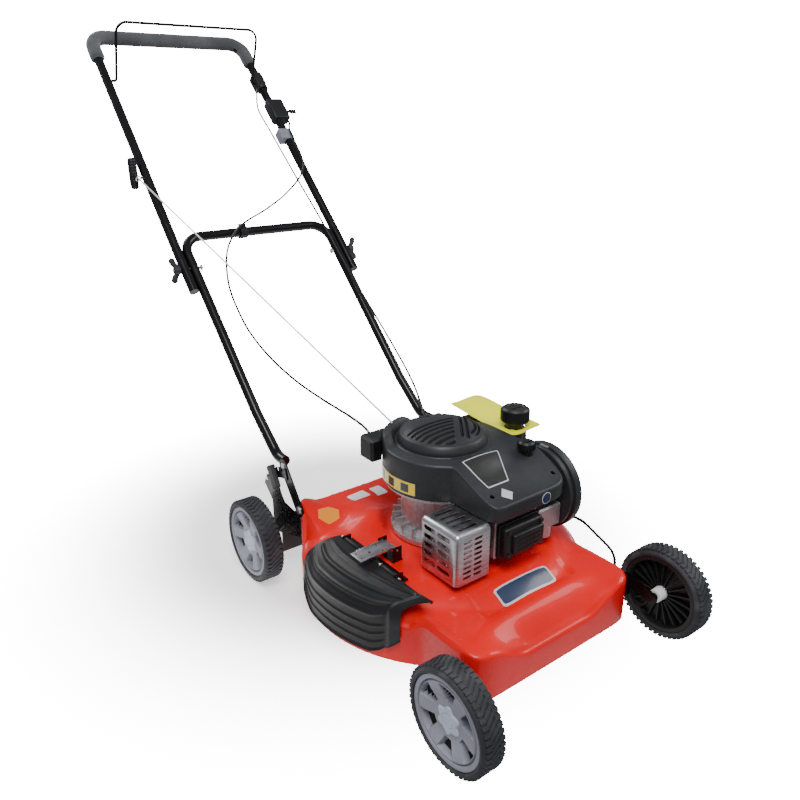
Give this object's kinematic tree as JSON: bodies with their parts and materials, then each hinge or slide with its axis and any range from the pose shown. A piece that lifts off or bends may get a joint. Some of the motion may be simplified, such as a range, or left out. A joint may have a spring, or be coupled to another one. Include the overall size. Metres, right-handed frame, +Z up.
{
  "type": "lawn mower",
  "caption": "Walk-behind petrol lawn mower: steel side-discharge deck, cowled engine, height-adjusted wheels, folding tube handle with bail, throttle and pull start.",
  "frame": {"origin": "on the ground, in the middle of the mower's length and width", "axes": "-Y is the front, +Y the handle, +X the air filter's side (the operator's left), +Z up"},
  "size_m": [0.568, 1.5915, 1.1324],
  "materials": {
    "deck_paint": "gloss",
    "black_paint": "gloss",
    "black_plastic": "satin",
    "charcoal_plastic": "satin",
    "grey_plastic": "satin",
    "foam": "matte",
    "tyre_rubber": "matte",
    "zinc": "satin",
    "cast": "cast",
    "cord": "woven"
  },
  "bodies": {
    "mower": {"air_filter_cover": "charcoal_plastic", "axle_bracket_left": "black_paint", "brake_cable": "black_plastic", "cable_clip": "black_plastic", "carburettor": "cast", "control_cover": "black_plastic", "cover_hinge_bracket": "black_paint", "cover_hinge_pin": "zinc", "cowl": "charcoal_plastic", "crankcase": "cast", "cylinder_head": "cast", "deck_shell": "deck_paint", "fuel_tank": "black_plastic", "handle_bracket_left": "black_paint", "handle_bracket_right": "black_paint", "height_quadrant": "black_paint", "latch_bracket": "black_paint", "lower_handle": "black_paint", "muffler": "zinc", "muffler_guard": "zinc", "oil_filler": "black_plastic", "rocker_cover": "black_plastic", "spark_plug": "black_plastic", "starter_rope": "cord", "starter_screen": "charcoal_plastic", "throttle_cable": "black_plastic"},
    "upper_handle": {"upper_handle": "black_paint", "foam_grip": "foam", "bail_bracket": "black_plastic", "throttle_housing": "black_plastic", "cable_clamp": "grey_plastic", "rope_guide": "zinc"},
    "rear_crank": {"rear_axle_crank": "black_paint", "height_lever": "black_paint", "lever_grip": "grey_plastic"},
    "front_crank": {"front_axle_crank": "black_paint"},
    "link": {"link_rod": "black_paint"},
    "rotor": {"crankshaft": "zinc", "flywheel": "cast", "blade_adapter": "cast", "blade": "black_paint", "blade_bolt": "zinc"},
    "cover": {"discharge_cover": "black_plastic"},
    "latch": {"cover_latch": "zinc"},
    "flap": {"rear_flap": "black_plastic"},
    "bail": {"bail_lever": "black_paint"},
    "throttle": {"throttle_lever": "black_plastic"},
    "fuel_cap": {"fuel_cap": "black_plastic"},
    "oil_cap": {"oil_cap": "black_plastic"},
    "starter_grip": {"starter_grip": "black_plastic"},
    "knob_left": {"wing_knob_left": "grey_plastic"},
    "knob_right": {"wing_knob_right": "grey_plastic"},
    "wheel_front_left": {"wheel_front_left": "grey_plastic", "tyre_front_left": "tyre_rubber"},
    "wheel_front_right": {"wheel_front_right": "grey_plastic", "tyre_front_right": "tyre_rubber"},
    "wheel_rear_left": {"wheel_rear_left": "grey_plastic", "tyre_rear_left": "tyre_rubber"},
    "wheel_rear_right": {"wheel_rear_right": "grey_plastic", "tyre_rear_right": "tyre_rubber"}
  },
  "joints": [
    {"name": "height_rear", "type": "hinge", "parent": "mower", "child": "rear_crank", "pos_m": [0, -0.12763, 0.15], "axis": [1, 0, 0], "range_deg": [-24, 24]},
    {"name": "height_front", "type": "hinge", "parent": "mower", "child": "front_crank", "pos_m": [0, -0.65163, 0.105], "axis": [1, 0, 0], "range_deg": [-24, 24]},
    {"name": "height_link", "type": "hinge", "parent": "rear_crank", "child": "link", "pos_m": [0.21, -0.12763, 0.18], "axis": [1, 0, 0], "range_deg": [-24, 24]},
    {"name": "roll_front_left", "type": "hinge", "parent": "front_crank", "child": "wheel_front_left", "pos_m": [0.262, -0.70763, 0.08824], "axis": [1, 0, 0], "continuous": true},
    {"name": "roll_front_right", "type": "hinge", "parent": "front_crank", "child": "wheel_front_right", "pos_m": [-0.262, -0.70763, 0.08824], "axis": [1, 0, 0], "continuous": true},
    {"name": "roll_rear_left", "type": "hinge", "parent": "rear_crank", "child": "wheel_rear_left", "pos_m": [0.262, -0.07163, 0.08824], "axis": [1, 0, 0], "continuous": true},
    {"name": "roll_rear_right", "type": "hinge", "parent": "rear_crank", "child": "wheel_rear_right", "pos_m": [-0.262, -0.07163, 0.08824], "axis": [1, 0, 0], "continuous": true},
    {"name": "crank_spin", "type": "hinge", "parent": "mower", "child": "rotor", "pos_m": [0, -0.36263, 0.2], "axis": [0, 0, 1], "continuous": true},
    {"name": "cover_hinge", "type": "hinge", "parent": "mower", "child": "cover", "pos_m": [-0.19, -0.36263, 0.1755], "axis": [0, 1, 0], "range_deg": [0, 70], "stiffness_Nm_per_rad": 0.5, "springref_deg": -34.38},
    {"name": "latch_hinge", "type": "hinge", "parent": "mower", "child": "latch", "pos_m": [-0.15, -0.39463, 0.189], "axis": [0, 1, 0], "range_deg": [0, 75]},
    {"name": "flap_hinge", "type": "hinge", "parent": "mower", "child": "flap", "pos_m": [0, -0.07613, 0.108], "axis": [1, 0, 0], "range_deg": [0, 75]},
    {"name": "handle_fold", "type": "hinge", "parent": "mower", "child": "upper_handle", "pos_m": [0, 0.28477, 0.59786], "axis": [1, 0, 0], "range_deg": [0, 135], "deforming": ["throttle_cable", "brake_cable", "starter_rope"]},
    {"name": "knob_turn_left", "type": "hinge", "parent": "mower", "child": "knob_left", "pos_m": [0.2266, 0.28477, 0.59786], "axis": [1, 0, 0], "range_deg": [-180, 180]},
    {"name": "knob_turn_right", "type": "hinge", "parent": "mower", "child": "knob_right", "pos_m": [-0.2266, 0.28477, 0.59786], "axis": [1, 0, 0], "range_deg": [-180, 180]},
    {"name": "bail_pivot", "type": "hinge", "parent": "upper_handle", "child": "bail", "pos_m": [0, 0.67713, 1.00019], "axis": [1, 0, 0], "range_deg": [-53, 0], "stiffness_Nm_per_rad": 0.4, "springref_deg": 68.75},
    {"name": "throttle_pivot", "type": "hinge", "parent": "upper_handle", "child": "throttle", "pos_m": [0.23216, 0.60732, 0.9286], "axis": [0, -0.7159, 0.6982], "range_deg": [-20, 20]},
    {"name": "fuel_cap_turn", "type": "hinge", "parent": "mower", "child": "fuel_cap", "pos_m": [0.175, -0.38263, 0.35], "axis": [0, 0, 1], "range_deg": [0, 120]},
    {"name": "oil_cap_turn", "type": "hinge", "parent": "mower", "child": "oil_cap", "pos_m": [0.106, -0.48063, 0.342], "axis": [0, 0, 1], "range_deg": [0, 120]},
    {"name": "starter_pull", "type": "slide", "parent": "upper_handle", "child": "starter_grip", "axis": [-0.1979, 0.8594, 0.4715], "range_m": [0, 0.45], "stiffness_N_per_m": 8, "springref_m": -0.3, "deforming": ["starter_rope"]}
  ],
  "couplings": [
    {"joint": "height_front", "follows": "height_rear", "ratio": -1},
    {"joint": "height_link", "follows": "height_rear", "ratio": -1},
    {"joint": "latch_hinge", "follows": "cover_hinge", "ratio": 1}
  ]
}
